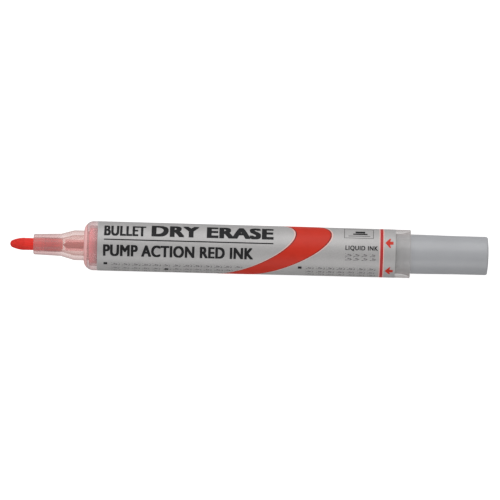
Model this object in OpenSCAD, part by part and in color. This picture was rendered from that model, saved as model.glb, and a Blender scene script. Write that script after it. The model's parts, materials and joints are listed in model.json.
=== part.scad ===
// Pump-action whiteboard marker, lying along X with its nib towards -X and its plunger towards +X.
// A station is a distance along the marker from the nib's tip, and an outline point is [radius, station].

/* [Overall] */
// Length from the nib's tip to the plunger's end
overall_len = 140; // [139:0.5:144]

/* [Nib] */
// Radius of the fibre nib
nib_r = 1.8; // [1.7:0.01:1.85]
// Length of nib that stands proud of the nozzle
nib_proud = 6.9; // [6:0.1:7.5]
// Whole length of the nib
nib_len = 15.4; // [15:0.1:15.5]
// Length over which the bullet nose swells to the full radius
nib_nose_len = 4.28; // [3.8:0.01:5]
// Radius of the long arc along the bullet nose
nib_ogive_r = 9; // [8:0.1:12]

/* [Nozzle] */
// Outer radius of the nozzle at its front end
nozzle_front_r = 2.98; // [2.8:0.01:3.1]
// Outer radius of the nozzle where its cone starts
nozzle_waist_r = 3.25; // [3.2:0.01:3.4]
// Radius that rounds the nozzle's front edge
nozzle_edge_r = 0.45; // [0.2:0.05:0.5]
// Length of the slim front part of the nozzle
nozzle_slim_len = 8; // [7.5:0.1:8.2]
// Length of the nozzle's cone
nozzle_cone_len = 3.9; // [3.5:0.1:4.2]
// Radius of the cylindrical seat that a cap closes on
seat_r = 4.35; // [4.3:0.01:4.4]
// Length of the cap seat
seat_len = 2.9; // [2.5:0.1:3.2]
// Length of the nozzle's plug inside the barrel's neck
plug_len = 6.3; // [6:0.1:6.5]
// Number of ribs that grip the nib
rib_count = 6; // [3:1:8]

/* [Barrel] */
// Length of the barrel from its front face to its rear rim
barrel_len = 95.4; // [95:0.1:96]
// Outer radius of the barrel just behind its round shoulder
barrel_front_r = 7.19; // [7.1:0.01:7.3]
// Outer radius of the barrel at its rear rim
barrel_rear_r = 7.01; // [6.95:0.01:7.1]
// Radius of the round shoulder
shoulder_r = 2.84; // [2.6:0.01:2.9]
// Radius of the tank's wall inside the barrel
tank_r = 5.9; // [5.8:0.01:5.95]
// Radius of the bore that the plunger slides in
bore_r = 6.0; // [5.98:0.01:6.1]

/* [Label] */
// Station where the label starts
label_start = 25.7; // [25:0.1:27]
// Length of the label along the barrel
label_len = 87.2; // [80:0.1:88]
// Thickness of the label's film
film = 0.09; // [0.05:0.01:0.15]

/* [Front valve] */
// Radius of the valve ball
ball_r = 1.5; // [1.4:0.01:1.5]
// Wire radius of the valve spring
valve_wire_r = 0.15; // [0.1:0.01:0.15]

/* [Pump] */
// Length of the tank between the barrel's front face and the pump's bulkhead
tank_len = 64.3; // [60:0.1:65]
// Inner radius of the pump's tube
pump_bore_r = 3.3; // [3.2:0.01:3.4]
// Outer radius of the pump's tube
pump_tube_r = 4.0; // [3.9:0.01:4.1]
// Wire radius of the return spring
return_wire_r = 0.4; // [0.3:0.01:0.45]
// Number of turns of the return spring
return_turns = 8; // [6:1:9]

/* [Plunger] */
// Radius of the plunger where it slides through the barrel's lip
plunger_r = 5.74; // [5.7:0.01:5.78]
// Radius of the plunger's rear end, where a cap can be posted
post_r = 5.6; // [5.5:0.01:5.7]
// Length of that rear end
post_len = 9; // [8:0.1:10]
// Radius that rounds the plunger's rear edge
plunger_edge_r = 0.55; // [0.3:0.05:0.8]
// Height of the shallow dome on the plunger's end
dome_h = 0.2; // [0.05:0.05:0.3]

/* [Hidden] */
$fn = 96;
slip = 0.02;        // gap between pieces that are pushed together and don't move
cut = 1;            // how far a cutter runs past the solid that it cuts
arc_steps = 12;     // straight pieces in a quarter turn of an outline

// stations of the front end
nozzle_s = nib_proud;
cone_s = nozzle_s + nozzle_slim_len;
seat_s = cone_s + nozzle_cone_len;
neck_s = seat_s + seat_len;
plug_end_s = neck_s + plug_len;
// stations of the barrel
barrel_end_s = neck_s + barrel_len;
shoulder_end_s = neck_s + shoulder_r;
label_end_s = label_start + label_len;
// the marker lies on the label's front edge, its fattest place
axis_z = barrel_r(label_start) + slip / 2 + film;

// nozzle and neck
nozzle_bore_r = 2.05;
nozzle_rear_bore_r = 3.0;
nozzle_bore_taper_s = 18.6;
rib_grip = 0.02;    // how far each rib bites into the nib
rib_w = 0.5;
neck_bore_r = 4.2;
neck_sleeve_r = 5.15;
neck_floor_s = neck_s + 1.5;
bead_r = 4.24;
bead_w = 0.8;
bead_s = [neck_s + 1.5, neck_s + 3.9];
nib_tail_r = 1.2;

// front valve
wick_r = 0.95;
wick_bore_r = 1.0;
feed_tube_r = 1.65;
feed_tube_s = nib_len + 0.8;
gasket_t = 0.6;
flange_s = plug_end_s + gasket_t;
chamber_r = 2.9;
housing_r = 3.9;
chamber_s = flange_s + 1.8;
chamber_end_s = chamber_s + 9.8;
ball_s = chamber_s + 5.2;
seat_gap = 0.03;    // gap between the ball and the rubber when the valve is shut
seat_throat_r = 0.9;
seat_mouth_s = ball_s + 0.65;
seat_back_s = ball_s + 2.7;
seat_cone = ball_s + (ball_r + seat_gap) * sqrt(2); // radius + station, all along the seat's 45 degree cone
valve_coil_r = 1.15;
valve_turns = 5;
// the last coil stops where its wire is just clear of the ball
valve_spring_end_s = ball_s - sqrt(pow(ball_r + valve_wire_r + slip, 2) - pow(valve_coil_r, 2)) - slip;
inlet_r = 1.1;
inlet_slot_w = 0.8;

// pump
bulkhead_s = neck_s + tank_len;
bulkhead_t = 2.5;
bulkhead_r = bore_r - slip;
pump_s = bulkhead_s + bulkhead_t;
pump_end_s = pump_s + 23.5;
ring_groove_r = 5.0;
ring_r = 0.52;
ring_s = bulkhead_s + bulkhead_t / 2;
umbrella_stem_r = 0.6;
umbrella_r = 2.4;
vent_r = 0.4;
vent_pitch_r = 1.5;
vent_count = 4;
coil_r = 5.0;

// plunger and piston
lip_s = barrel_end_s - 5.6;
lip_r = 5.82;
lip_len = 3.1;
mouth_r = 6.5;
plunger_flange_r = 5.93;
plunger_flange_len = 3.4;
plunger_flange_s = lip_s - 0.1 - plunger_flange_len;
plunger_guide_end_s = lip_s + 7.5;
plunger_wall_r = 4.7;
plunger_end_wall = 1.3;
plunger_inside_end_s = overall_len - dome_h - plunger_end_wall;
boss_r = 2.3;
boss_len = 6;
rod_r = 1.5;
piston_r = 3.2;
piston_s = pump_s + 7.5;
piston_len = 3.5;
piston_groove_r = 2.5;
piston_seal_r = pump_bore_r - slip;

// radius of the nose's small front arc, which meets both the axis and the long arc smoothly
nose_r = (pow(nib_ogive_r, 2) - pow(nib_ogive_r - nib_r, 2) - pow(nib_nose_len, 2))
         / (2 * (nib_ogive_r - nib_nose_len));
nose_turn = atan2(nib_ogive_r - nib_r, nose_r - nib_nose_len);

// outline points along an arc, with angles from the +station direction towards +radius
function arc(centre, r, from, to, steps = arc_steps) =
    [for (i = [0:steps]) let (a = from + (to - from) * i / steps) [centre[0] + r * sin(a), centre[1] + r * cos(a)]];

// a list without its first entry, for an arc that starts where the one before it ends
function after_first(list) = [for (i = [1:len(list) - 1]) list[i]];

// outer radius of the bare barrel at a station
function barrel_r(s) = barrel_front_r
    + (barrel_rear_r - barrel_front_r) * (s - shoulder_end_s) / (barrel_end_s - shoulder_end_s);

// outline points of a low round bead on the nozzle's plug
function bead(s) = [[neck_bore_r - slip, s - bead_w / 2], [bead_r, s], [neck_bore_r - slip, s + bead_w / 2]];

// stands the marker's axis along X, with station 0 at the nib's tip
module place() {
    translate([-overall_len / 2, 0, axis_z]) rotate([0, 90, 0]) children();
}

// a solid turned from an outline
module turned(outline) {
    place() rotate_extrude() polygon(outline);
}

// repeats its children evenly round the axis
module around(count) {
    for (i = [0:count - 1]) rotate([0, 0, i * 360 / count]) children();
}

// a coil of round wire between two stations of its centre line
module coil(r, wire_r, from, to, turns, steps = 14, sides = 6) {
    rings = turns * steps;
    points = [for (i = [0:rings], j = [0:sides - 1])
        let (a = i * 360 / steps, b = j * 360 / sides, q = r + wire_r * cos(b))
        [q * cos(a), q * sin(a), from + (to - from) * i / rings + wire_r * sin(b)]];
    skin = [for (i = [0:rings - 1], j = [0:sides - 1])
        let (a = i * sides + j, b = i * sides + (j + 1) % sides)
        [a, a + sides, b + sides, b]];
    first = [for (j = [0:sides - 1]) j];
    last = [for (j = [sides - 1:-1:0]) rings * sides + j];
    polyhedron(points, concat(skin, [first, last]), convexity = 10);
}

// fibre nib: a bullet nose made of two arcs, a straight body and a bevelled tail
module nib() {
    color("firebrick") turned(concat(
        arc([0, nose_r], nose_r, 180, nose_turn),
        after_first(arc([nib_r - nib_ogive_r, nib_nose_len], nib_ogive_r, nose_turn, 90)),
        [[nib_r, nib_len - 0.8], [nib_tail_r, nib_len], [0, nib_len]]));
}

// nozzle: slim front, cone, cap seat, and a beaded plug that is pushed into the barrel's neck
module nozzle() {
    plug_r = neck_bore_r - slip;
    color("lightpink", 0.6) {
        turned(concat(
            [[nozzle_bore_r, nozzle_s]],
            arc([nozzle_front_r - nozzle_edge_r, nozzle_s + nozzle_edge_r], nozzle_edge_r, 180, 90),
            [[nozzle_waist_r, cone_s], [seat_r, seat_s], [seat_r, neck_s], [plug_r, neck_s]],
            bead(bead_s[0]), bead(bead_s[1]),
            [[plug_r, plug_end_s - 0.4], [plug_r - 0.3, plug_end_s],
             [nozzle_rear_bore_r, plug_end_s], [nozzle_rear_bore_r, nozzle_bore_taper_s],
             [nozzle_bore_r, nib_len]]));
        place() difference() {
            around(rib_count) translate([nib_r - rib_grip * 2, -rib_w / 2, nozzle_s + 0.6])
                cube([nozzle_bore_r - nib_r + 0.3, rib_w, nib_len - 1.6 - nozzle_s]);
            translate([0, 0, nozzle_s - cut]) cylinder(r = nib_r - rib_grip, h = nib_len + cut);
        }
    }
}

// barrel: round shoulder, drafted wall, inner neck sleeve, tank, pump bore and the lip that keeps the plunger in
module barrel() {
    pocket_r = tank_r - neck_sleeve_r;
    color("white", 0.45) turned(concat(
        [[neck_bore_r, neck_s]],
        arc([barrel_front_r - shoulder_r, shoulder_end_s], shoulder_r, 180, 90),
        [[barrel_rear_r, barrel_end_s], [mouth_r, barrel_end_s],
         [lip_r, lip_s + lip_len], [lip_r, lip_s], [bore_r, lip_s],
         [bore_r, bulkhead_s], [tank_r, bulkhead_s]],
        arc([neck_sleeve_r, neck_floor_s + pocket_r], pocket_r, 90, 180, 6),
        [[neck_sleeve_r, plug_end_s], [neck_bore_r, plug_end_s]]));
}

// label: one turn of thin film round the drafted barrel
module label() {
    glue = slip / 2;
    color("silver") turned([
        [barrel_r(label_start) + glue, label_start], [barrel_r(label_start) + glue + film, label_start],
        [barrel_r(label_end_s) + glue + film, label_end_s], [barrel_r(label_end_s) + glue, label_end_s]]);
}

// flat ring squeezed between the neck and the valve housing
module neck_gasket() {
    color("dimgray") place() translate([0, 0, plug_end_s]) difference() {
        cylinder(r = neck_sleeve_r - 0.05, h = gasket_t);
        translate([0, 0, -cut]) cylinder(r = nozzle_rear_bore_r + slip, h = gasket_t + 2 * cut);
    }
}

// wick that carries ink from the valve to the nib, with a pointed front
module feed_wick() {
    color("darkred") turned([[0, nib_len], [wick_r, nib_len + 1.3], [wick_r, chamber_s - slip], [0, chamber_s - slip]]);
}

// valve housing: feed tube, spigot in the nozzle, flange on the gasket, and the valve's chamber
module valve_housing() {
    spigot_r = nozzle_rear_bore_r - slip;
    spigot_s = plug_end_s - 3.4;
    color("whitesmoke") turned([
        [wick_bore_r, feed_tube_s], [feed_tube_r, feed_tube_s], [feed_tube_r, spigot_s - 0.4], [spigot_r, spigot_s],
        [spigot_r, flange_s], [neck_sleeve_r - 0.15, flange_s], [neck_sleeve_r - 0.15, flange_s + 1],
        [housing_r, flange_s + 1], [housing_r, chamber_end_s], [chamber_r, chamber_end_s],
        [chamber_r, chamber_s], [wick_bore_r, chamber_s]]);
}

// spring that holds the ball shut
module valve_spring() {
    color("gray") place()
        coil(valve_coil_r, valve_wire_r, chamber_s + valve_wire_r + slip, valve_spring_end_s, valve_turns, 12);
}

// ball of the front valve
module valve_ball() {
    color("gainsboro") place() translate([0, 0, ball_s]) sphere(r = ball_r);
}

// rubber ring with a conical seat under the ball
module valve_seat() {
    color("black") turned([
        [seat_throat_r, seat_cone - seat_throat_r], [seat_cone - seat_mouth_s, seat_mouth_s],
        [chamber_r - slip, seat_mouth_s], [chamber_r - slip, seat_back_s], [seat_throat_r, seat_back_s]]);
}

// cap that holds the seat in the chamber, with an inlet hole and crossed slots
module valve_retainer() {
    cap_t = 1;
    color("whitesmoke") difference() {
        turned([
            [inlet_r, seat_back_s], [chamber_r - slip, seat_back_s], [chamber_r - slip, chamber_end_s],
            [housing_r, chamber_end_s], [housing_r, chamber_end_s + cap_t], [inlet_r, chamber_end_s + cap_t]]);
        place() around(2) translate([-housing_r - cut, -inlet_slot_w / 2, chamber_end_s + cap_t / 2])
            cube([2 * (housing_r + cut), inlet_slot_w, cap_t]);
    }
}

// free ink, lying level in the tank round the valve
module ink() {
    gap = 0.05;
    level = 2;      // height of the ink's surface above the axis
    back_of_valve = chamber_end_s + 1 + gap;
    front = flange_s + 1 + gap;
    color("crimson", 0.8) difference() {
        turned([
            [0, back_of_valve], [housing_r + gap, back_of_valve], [housing_r + gap, front],
            [tank_r - gap, front], [tank_r - gap, bulkhead_s - 1.6], [0, bulkhead_s - 1.6]]);
        translate([-overall_len / 2, -barrel_front_r, axis_z + level])
            cube([overall_len, 2 * barrel_front_r, barrel_front_r]);
    }
}

// bulkhead at the back of the tank, with a ring groove and vents, and the pump's tube behind it
module pump_cylinder() {
    groove_w = 1.1;
    color("whitesmoke") difference() {
        turned([
            [umbrella_stem_r + slip, bulkhead_s], [bulkhead_r, bulkhead_s],
            [bulkhead_r, ring_s - groove_w / 2], [ring_groove_r, ring_s - groove_w / 2],
            [ring_groove_r, ring_s + groove_w / 2], [bulkhead_r, ring_s + groove_w / 2],
            [bulkhead_r, pump_s], [pump_tube_r, pump_s], [pump_tube_r, pump_end_s],
            [pump_bore_r, pump_end_s], [pump_bore_r, pump_s], [umbrella_stem_r + slip, pump_s]]);
        place() around(vent_count) translate([vent_pitch_r, 0, bulkhead_s - cut])
            cylinder(r = vent_r, h = bulkhead_t + 2 * cut, $fn = 24);
    }
}

// ring that seals the bulkhead in the barrel
module cylinder_o_ring() {
    color("black") place() translate([0, 0, ring_s]) rotate_extrude()
        translate([(bore_r + ring_groove_r) / 2, 0]) circle(r = ring_r, $fn = 24);
}

// rubber umbrella over the vents, held by a stem with a barb
module check_valve() {
    color("dimgray") turned([
        [0, bulkhead_s - 1.1], [1, bulkhead_s - 1], [umbrella_r, bulkhead_s - 0.35], [umbrella_r, bulkhead_s],
        [umbrella_stem_r, bulkhead_s], [umbrella_stem_r, pump_s + 0.05], [umbrella_stem_r + 0.35, pump_s + 0.1],
        [umbrella_stem_r, pump_s + 1.1], [0, pump_s + 1.3]]);
}

// spring between the bulkhead and the plunger
module return_spring() {
    end_gap = return_wire_r + 0.05;
    color("gray") place()
        coil(coil_r, return_wire_r, pump_s + end_gap, plunger_flange_s - end_gap, return_turns);
}

// plunger: hollow push piece with a flange behind the barrel's lip and a socket for the piston's rod
module plunger() {
    post_s = overall_len - dome_h - post_len;
    edge_r = plunger_edge_r;
    color("darkgray") turned(concat(
        [[plunger_wall_r, plunger_flange_s], [plunger_flange_r, plunger_flange_s],
         [plunger_flange_r, plunger_flange_s + plunger_flange_len],
         [plunger_r, plunger_flange_s + plunger_flange_len], [plunger_r, plunger_guide_end_s], [post_r, post_s]],
        arc([post_r - edge_r, overall_len - dome_h - edge_r], edge_r, 90, 0, 6),
        [[2, overall_len - dome_h * 0.15], [0, overall_len],
         [0, plunger_inside_end_s], [rod_r, plunger_inside_end_s], [rod_r, plunger_inside_end_s - boss_len],
         [boss_r, plunger_inside_end_s - boss_len], [boss_r, plunger_inside_end_s],
         [plunger_wall_r, plunger_inside_end_s]]));
}

// piston: head with a seal groove, on a rod that is pushed into the plunger's socket
module piston() {
    color("whitesmoke") turned([
        [0, piston_s], [piston_r, piston_s], [piston_r, piston_s + 0.9],
        [piston_groove_r, piston_s + 0.9], [piston_groove_r, piston_s + 2.5],
        [piston_r, piston_s + 2.5], [piston_r, piston_s + piston_len],
        [rod_r, piston_s + piston_len], [rod_r, plunger_inside_end_s - boss_len - 0.5],
        [rod_r - 0.01, plunger_inside_end_s - boss_len], [rod_r - 0.01, plunger_inside_end_s - slip],
        [0, plunger_inside_end_s - slip]]);
}

// cup seal that grips the pump's tube on the way in and lets air past on the way out
module piston_seal() {
    front = piston_s + 0.9 + slip;
    back = piston_s + 2.5 - slip;
    inner = piston_groove_r + slip;
    color("black") turned([
        [inner, front], [inner + 0.25, front], [inner + 0.35, front + 0.7], [piston_seal_r - 0.2, front],
        [piston_seal_r, front + 0.1], [piston_seal_r, front + 0.6], [piston_seal_r - 0.1, back], [inner, back]]);
}

nib();
nozzle();
barrel();
label();
neck_gasket();
feed_wick();
valve_housing();
valve_spring();
valve_ball();
valve_seat();
valve_retainer();
ink();
pump_cylinder();
cylinder_o_ring();
check_valve();
return_spring();
plunger();
piston();
piston_seal();
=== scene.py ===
"""Looks of a pump-action whiteboard marker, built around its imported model.

The marker lies along X with its nib towards -X, its plunger towards +X and its print facing +Z.
A point on its skin is given by its X, by its turn (degrees from +Z towards +Y) and by its radius.
"""

import json
import logging
import math
from collections.abc import Callable, Sequence
from dataclasses import dataclass, field
from enum import Enum

import bmesh
import bpy
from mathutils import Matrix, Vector

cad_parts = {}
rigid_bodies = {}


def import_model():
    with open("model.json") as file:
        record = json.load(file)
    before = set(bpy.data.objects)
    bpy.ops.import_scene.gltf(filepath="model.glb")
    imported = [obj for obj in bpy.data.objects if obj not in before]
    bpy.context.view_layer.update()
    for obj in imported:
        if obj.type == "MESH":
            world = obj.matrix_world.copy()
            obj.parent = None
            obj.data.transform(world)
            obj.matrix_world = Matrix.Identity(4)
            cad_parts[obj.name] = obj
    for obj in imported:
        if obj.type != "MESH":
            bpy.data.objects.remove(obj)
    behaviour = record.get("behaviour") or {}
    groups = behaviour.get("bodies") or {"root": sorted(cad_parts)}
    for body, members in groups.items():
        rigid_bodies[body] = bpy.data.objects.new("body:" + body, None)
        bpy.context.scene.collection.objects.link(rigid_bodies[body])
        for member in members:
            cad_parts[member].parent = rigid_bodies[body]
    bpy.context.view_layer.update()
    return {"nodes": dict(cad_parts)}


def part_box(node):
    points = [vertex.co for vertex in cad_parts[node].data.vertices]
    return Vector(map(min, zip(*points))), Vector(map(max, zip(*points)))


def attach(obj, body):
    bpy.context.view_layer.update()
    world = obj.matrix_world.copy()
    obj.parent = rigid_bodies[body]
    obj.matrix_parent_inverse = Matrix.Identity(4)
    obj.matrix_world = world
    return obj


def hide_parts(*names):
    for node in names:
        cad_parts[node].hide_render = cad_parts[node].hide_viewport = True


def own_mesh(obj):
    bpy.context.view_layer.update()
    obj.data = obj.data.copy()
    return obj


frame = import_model()

logging.basicConfig(level=logging.INFO, format="%(name)s: %(message)s")
log = logging.getLogger("marker")

MM = 0.001
# Where the copies of a line of capitals go, along and round, to thicken its strokes; and how far apart they lie
BOLD_STEPS = ((-1, -0.5), (0, -0.5), (1, -0.5), (-1, 0.5), (0, 0.5), (1, 0.5))
BOLD_LAYER = 0.08
Outline = list[tuple[float, float]]
Colour = tuple[float, float, float]


class Body(Enum):
    """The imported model's bodies."""

    MARKER = "marker_body"
    PLUNGER = "plunger_body"
    BALL = "ball_body"


class Slot(Enum):
    """The record's material slots."""

    NIB = "nib_fibre"
    MILKY = "milky_plastic"
    CLEAR = "clear_plastic"
    FILM = "label_film"
    GREY = "grey_plastic"
    NATURAL = "natural_plastic"
    RUBBER = "seal_rubber"
    SPRING = "spring_steel"
    BALL = "ball_steel"
    INK = "ink"


# ---------------------------------------------------------------- finishes


class NodeKit:
    """Adds nodes to one node tree and links them."""

    def __init__(self, tree: bpy.types.NodeTree) -> None:
        """Keeps the tree that the nodes go in."""
        self.tree = tree

    def add(self, kind: str, inputs: dict | None = None, **settings: object) -> bpy.types.Node:
        """Adds a node.

        Args:
            kind: Blender's name for the node.
            inputs: a value for each named or numbered input, or an output socket to link to it.
            settings: values for the node's own properties.

        Returns:
            The new node.
        """
        node = self.tree.nodes.new(kind)
        for name, value in settings.items():
            setattr(node, name, value)
        for name, value in (inputs or {}).items():
            if isinstance(value, bpy.types.NodeSocket):
                self.tree.links.new(value, node.inputs[name])
            else:
                node.inputs[name].default_value = value
        return node

    def math(self, operation: str, *values: object, clamp: bool = False) -> bpy.types.NodeSocket:
        """Adds a shader Math node and returns its output.

        Args:
            operation: the sum that it does.
            values: numbers or output sockets, in order.
            clamp: whether the result is held between 0 and 1.

        Returns:
            The node's output socket.
        """
        return self.add("ShaderNodeMath", dict(enumerate(values)), operation=operation, use_clamp=clamp).outputs[0]

    def blend(self, share: object, first: object, second: object) -> bpy.types.NodeSocket:
        """Mixes two colours.

        Args:
            share: how much of the second colour shows, or its socket.
            first: the first colour, or its socket.
            second: the second colour, or its socket.

        Returns:
            The mixed colour's socket.
        """
        share_in, first_in, second_in, colour_out = 0, 6, 7, 2
        inputs = {share_in: share, first_in: first, second_in: second}
        return self.add("ShaderNodeMix", inputs, data_type="RGBA").outputs[colour_out]


@dataclass(frozen=True)
class Finish:
    """A moulded surface: one colour with faint cloudiness, and a grain that varies its gloss and its height."""

    name: str
    colour: Colour
    roughness: float
    cloud: float = 0.04
    cloud_mm: float = 6.0
    grain: float = 0.06
    grain_mm: float = 0.25
    relief_mm: float = 0.002
    metallic: float = 0.0
    ior: float = 1.49
    stretch: float = 1.0

    def material(self) -> bpy.types.Material:
        """Builds the material, unless it is there already.

        Returns:
            The material.
        """
        title = f"{self.name}_finish"
        found = bpy.data.materials.get(title)
        if found:
            return found
        made = bpy.data.materials.new(title)
        made.use_nodes = True
        made.diffuse_color = (*self.colour, 1.0)
        kit = NodeKit(made.node_tree)
        shader = made.node_tree.nodes["Principled BSDF"]
        self.dress(kit, shader)
        return made

    def place(self, kit: NodeKit) -> bpy.types.NodeSocket:
        """Finds the piece's own coordinates in millimetres, drawn out along the marker by stretch.

        Args:
            kit: the material's nodes.

        Returns:
            The coordinates' socket.
        """
        coordinates = kit.add("ShaderNodeTexCoord").outputs["Object"]
        scale = (1 / MM / self.stretch, 1 / MM, 1 / MM)
        return kit.add("ShaderNodeMapping", {"Vector": coordinates, "Scale": scale}).outputs["Vector"]

    def noise(self, kit: NodeKit, place: bpy.types.NodeSocket, size_mm: float,
              detail: float = 3.0) -> bpy.types.NodeSocket:
        """Returns noise from 0 to 1 with features of about size_mm."""
        inputs = {"Vector": place, "Scale": 1 / size_mm, "Detail": detail, "Roughness": 0.55}
        return kit.add("ShaderNodeTexNoise", inputs).outputs["Fac"]

    def spread(self, kit: NodeKit, value: bpy.types.NodeSocket, low: float, high: float) -> bpy.types.NodeSocket:
        """Returns value, which runs from 0.3 to 0.7, spread from low to high."""
        inputs = {"Value": value, "From Min": 0.3, "From Max": 0.7, "To Min": low, "To Max": high}
        return kit.add("ShaderNodeMapRange", inputs).outputs["Result"]

    def base(self, kit: NodeKit, place: bpy.types.NodeSocket) -> bpy.types.NodeSocket:
        """Returns the surface's colour, with its cloudiness."""
        light = self.spread(kit, self.noise(kit, place, self.cloud_mm), 1 - self.cloud, 1 + self.cloud)
        return kit.add("ShaderNodeHueSaturation", {"Value": light, "Color": (*self.colour, 1.0)}).outputs["Color"]

    def dress(self, kit: NodeKit, shader: bpy.types.Node) -> None:
        """Sets the shader's inputs.

        Args:
            kit: the material's nodes.
            shader: its Principled BSDF.
        """
        place = self.place(kit)
        grain = self.noise(kit, place, self.grain_mm)
        links = kit.tree.links
        links.new(self.base(kit, place), shader.inputs["Base Color"])
        low, high = self.roughness - self.grain, self.roughness + self.grain
        links.new(self.spread(kit, grain, max(low, 0.02), high), shader.inputs["Roughness"])
        bump = kit.add("ShaderNodeBump", {"Height": grain, "Strength": 1.0, "Distance": self.relief_mm * MM})
        links.new(bump.outputs["Normal"], shader.inputs["Normal"])
        shader.inputs["Metallic"].default_value = self.metallic
        shader.inputs["IOR"].default_value = self.ior


@dataclass(frozen=True)
class ClearFinish(Finish):
    """See-through plastic or liquid: each face tints what is behind it, and adds a share of milk."""

    milk: float = 0.2
    tint: Colour = (0.97, 0.97, 0.97)
    far_colour: Colour | None = None
    far_tint: Colour | None = None
    fade_start: float = 0.0
    fade_end: float = 1.0
    # Where the surface is seen edge-on, more milk shows (the plastic is thicker there) and the milk turns to a
    # darker painted edge shade.
    edge: float = 0.0
    edge_shade_colour: Colour = (0.40, 0.36, 0.34)
    edge_power: float = 3.0

    def rim(self, kit: NodeKit) -> bpy.types.NodeSocket:
        """Returns how edge-on the surface is seen, from 0 to 1: where the plastic is seen through at its thickest,
        and where the painted edge shade goes.
        """
        facing = kit.add("ShaderNodeLayerWeight", {"Blend": 0.5}).outputs["Facing"]
        return kit.math("POWER", facing, self.edge_power)

    def fade(self, kit: NodeKit, near: object, far: Colour | None) -> object:
        """Turns a colour from near to far along the marker.

        Args:
            kit: the material's nodes.
            near: the colour towards the nib, as a value or a socket.
            far: the colour towards the plunger, or None to keep near all along.

        Returns:
            The colour, as a value or a socket.
        """
        if far is None:
            return near
        place = kit.add("ShaderNodeTexCoord").outputs["Object"]
        along = kit.add("ShaderNodeSeparateXYZ", {"Vector": place}).outputs["X"]
        inputs = {"Value": along, "From Min": self.fade_start, "From Max": self.fade_end}
        share = kit.add("ShaderNodeMapRange", inputs, interpolation_type="SMOOTHSTEP").outputs["Result"]
        return kit.blend(share, near, (*far, 1.0))

    def base(self, kit: NodeKit, place: bpy.types.NodeSocket) -> bpy.types.NodeSocket:
        """Finds the milk's colour, which turns to a darker painted edge shade where the surface is seen edge-on.

        Args:
            kit: the material's nodes.
            place: the piece's coordinates.

        Returns:
            The colour's socket.
        """
        body = self.fade(kit, super().base(kit, place), self.far_colour)
        if not self.edge:
            return body
        return kit.blend(self.rim(kit), body, (*self.edge_shade_colour, 1.0))

    def dress(self, kit: NodeKit, shader: bpy.types.Node) -> None:
        """Mixes the moulded surface with what is seen through it.

        Args:
            kit: the material's nodes.
            shader: its Principled BSDF.
        """
        super().dress(kit, shader)
        seen = kit.add("ShaderNodeBsdfTransparent", {"Color": self.fade(kit, (*self.tint, 1.0), self.far_tint)})
        held = kit.math("MULTIPLY_ADD", self.rim(kit), self.edge, self.milk, clamp=True) if self.edge else self.milk
        mix = kit.add("ShaderNodeMixShader", {0: held, 1: seen.outputs[0], 2: shader.outputs[0]})
        kit.tree.links.new(mix.outputs[0], kit.tree.nodes["Material Output"].inputs["Surface"])


@dataclass(frozen=True)
class FilmFinish(Finish):
    """Silver film: metal flakes of slightly different brightness under a satin varnish."""

    flake_mm: float = 0.09
    flake: float = 0.10

    def base(self, kit: NodeKit, place: bpy.types.NodeSocket) -> bpy.types.NodeSocket:
        """Finds the silver's colour, with each flake a little lighter or darker.

        Args:
            kit: the material's nodes.
            place: the piece's coordinates.

        Returns:
            The colour's socket.
        """
        cells = kit.add("ShaderNodeTexVoronoi", {"Vector": place, "Scale": 1 / self.flake_mm})
        shade = kit.add("ShaderNodeSeparateColor", {"Color": cells.outputs["Color"]}).outputs["Red"]
        inputs = {"Value": shade, "To Min": 1 - self.flake, "To Max": 1 + self.flake}
        light = kit.add("ShaderNodeMapRange", inputs).outputs["Result"]
        inputs = {"Value": light, "Color": super().base(kit, place)}
        return kit.add("ShaderNodeHueSaturation", inputs).outputs["Color"]

    def dress(self, kit: NodeKit, shader: bpy.types.Node) -> None:
        """Adds the varnish.

        Args:
            kit: the material's nodes.
            shader: its Principled BSDF.
        """
        super().dress(kit, shader)
        shader.inputs["Coat Weight"].default_value = 0.1
        shader.inputs["Coat Roughness"].default_value = 0.3


@dataclass(frozen=True)
class FibreFinish(Finish):
    """Bonded fibre, wet with ink: long fine streaks of painted shade, darker between the fibres and paler on their
    backs.
    """

    # The painted shade between the fibres.
    fibre_shade_colour: Colour = (0.4, 0.02, 0.02)

    def base(self, kit: NodeKit, place: bpy.types.NodeSocket) -> bpy.types.NodeSocket:
        """Finds the ink's colour, streaked along the nib with painted shade between the fibres.

        Args:
            kit: the material's nodes.
            place: the piece's coordinates.

        Returns:
            The colour's socket.
        """
        shade_streak = self.spread(kit, self.noise(kit, place, 0.12, 2.0), 0.0, 1.0)
        return kit.blend(shade_streak, (*self.fibre_shade_colour, 1.0), (*self.colour, 1.0))

    def dress(self, kit: NodeKit, shader: bpy.types.Node) -> None:
        """Adds the soft sheen of the fibre ends.

        Args:
            kit: the material's nodes.
            shader: its Principled BSDF.
        """
        super().dress(kit, shader)
        shader.inputs["Sheen Weight"].default_value = 0.08
        shader.inputs["Sheen Roughness"].default_value = 0.5
        shader.inputs["Sheen Tint"].default_value = (1.0, 0.6, 0.55, 1.0)
        shader.inputs["Subsurface Weight"].default_value = 0.15
        shader.inputs["Subsurface Radius"].default_value = (0.6 * MM, 0.1 * MM, 0.1 * MM)
        shader.inputs["Subsurface Scale"].default_value = 1.0


# The nib and the wick carry streaks of painted shade between their fibres.
NIB_FIBRE = FibreFinish("nib_fibre", (0.80, 0.034, 0.022), 0.6, grain=0.1, grain_mm=0.08, relief_mm=0.010,
                        stretch=14.0, ior=1.3, fibre_shade_colour=(0.62, 0.020, 0.014))
WICK_FIBRE = FibreFinish("wick_fibre", (0.43, 0.014, 0.045), 0.6, grain=0.1, grain_mm=0.08, relief_mm=0.01,
                         stretch=14.0, ior=1.3, fibre_shade_colour=(0.34, 0.009, 0.034))
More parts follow.
